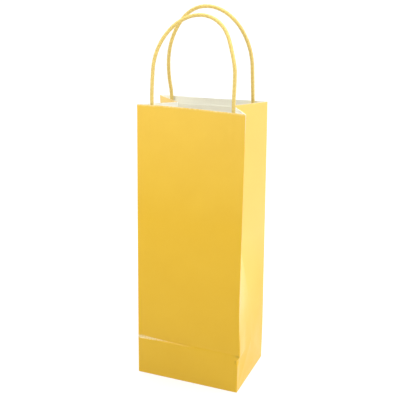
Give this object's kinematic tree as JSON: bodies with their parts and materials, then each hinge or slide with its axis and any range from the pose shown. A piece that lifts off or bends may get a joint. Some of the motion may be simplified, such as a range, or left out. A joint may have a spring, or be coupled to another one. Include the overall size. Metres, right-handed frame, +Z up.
{
  "type": "paper wine gift bag",
  "caption": "Tall narrow paper gift bag for one wine bottle, with a block bottom, side gussets folded in at the mouth and twisted cord handles.",
  "frame": {"origin": "centre of the underside of the base, on the surface that the bag stands on", "axes": "+Z up towards the mouth and the handles, +Y from the front wall to the back wall, +X to the right seen from the front"},
  "size_m": [0.127, 0.095, 0.4364],
  "materials": {
    "paper": "satin coated yellow outside, plain white inside",
    "liner": "matte uncoated white",
    "cord": "matte twisted paper"
  },
  "bodies": {
    "bag": {"front_wall": "paper", "front_wall_foot": "paper", "left_gusset_front_heel": "paper", "left_gusset_back_heel": "paper", "right_gusset_front_heel": "paper", "right_gusset_back_heel": "paper", "left_gusset_foot": "paper", "right_gusset_foot": "paper", "bottom_front_flap": "paper", "bottom_back_flap": "paper", "bottom_left_tuck": "paper", "bottom_right_tuck": "paper", "front_patch_backing": "liner", "front_patch_cover": "liner", "front_handle_end_left": "cord", "front_handle_end_right": "cord"},
    "back_panel": {"back_wall": "paper", "seam_lap": "liner", "back_patch_backing": "liner", "back_patch_cover": "liner", "back_handle_end_left": "cord", "back_handle_end_right": "cord"},
    "left_front_fold": {"left_gusset_front": "paper"},
    "left_back_fold": {"left_gusset_back": "paper"},
    "right_front_fold": {"right_gusset_front": "paper"},
    "right_back_fold": {"right_gusset_back": "paper"},
    "front_handle": {"front_handle_loop": "cord"},
    "back_handle": {"back_handle_loop": "cord"}
  },
  "joints": [
    {"name": "mouth", "type": "hinge", "parent": "bag", "child": "back_panel", "pos_m": [0, 0.0475, 0.0003], "axis": [1, 0, 0], "range_deg": [-2, 2]},
    {"name": "left_front_gusset", "type": "hinge", "parent": "bag", "child": "left_front_fold", "pos_m": [-0.0635, -0.0475, 0.0475], "axis": [0, -0.011, -0.9999], "range_deg": [-9.3, 9.3]},
    {"name": "left_back_gusset", "type": "hinge", "parent": "back_panel", "child": "left_back_fold", "pos_m": [-0.0635, 0.0475, 0.0475], "axis": [0, -0.1073, 0.9942], "range_deg": [-9.3, 9.3]},
    {"name": "right_front_gusset", "type": "hinge", "parent": "bag", "child": "right_front_fold", "pos_m": [0.0635, -0.0475, 0.0475], "axis": [0, 0.011, 0.9999], "range_deg": [-11.9, 11.9]},
    {"name": "right_back_gusset", "type": "hinge", "parent": "back_panel", "child": "right_back_fold", "pos_m": [0.0635, 0.0475, 0.0475], "axis": [0, 0.0534, -0.9986], "range_deg": [-11.9, 11.9]},
    {"name": "front_handle_swing", "type": "hinge", "parent": "bag", "child": "front_handle", "pos_m": [0, -0.0389, 0.333], "axis": [1, 0, 0], "range_deg": [-0.8, 100]},
    {"name": "back_handle_swing", "type": "hinge", "parent": "back_panel", "child": "back_handle", "pos_m": [0, 0.02074, 0.333], "axis": [-0.9927, -0.1204, 0], "range_deg": [-0.8, 100]}
  ],
  "couplings": [
    {"joint": "left_front_gusset", "follows": "mouth", "ratio": 4.558},
    {"joint": "left_back_gusset", "follows": "mouth", "ratio": 4.558},
    {"joint": "right_front_gusset", "follows": "mouth", "ratio": 5.893},
    {"joint": "right_back_gusset", "follows": "mouth", "ratio": 5.893}
  ]
}
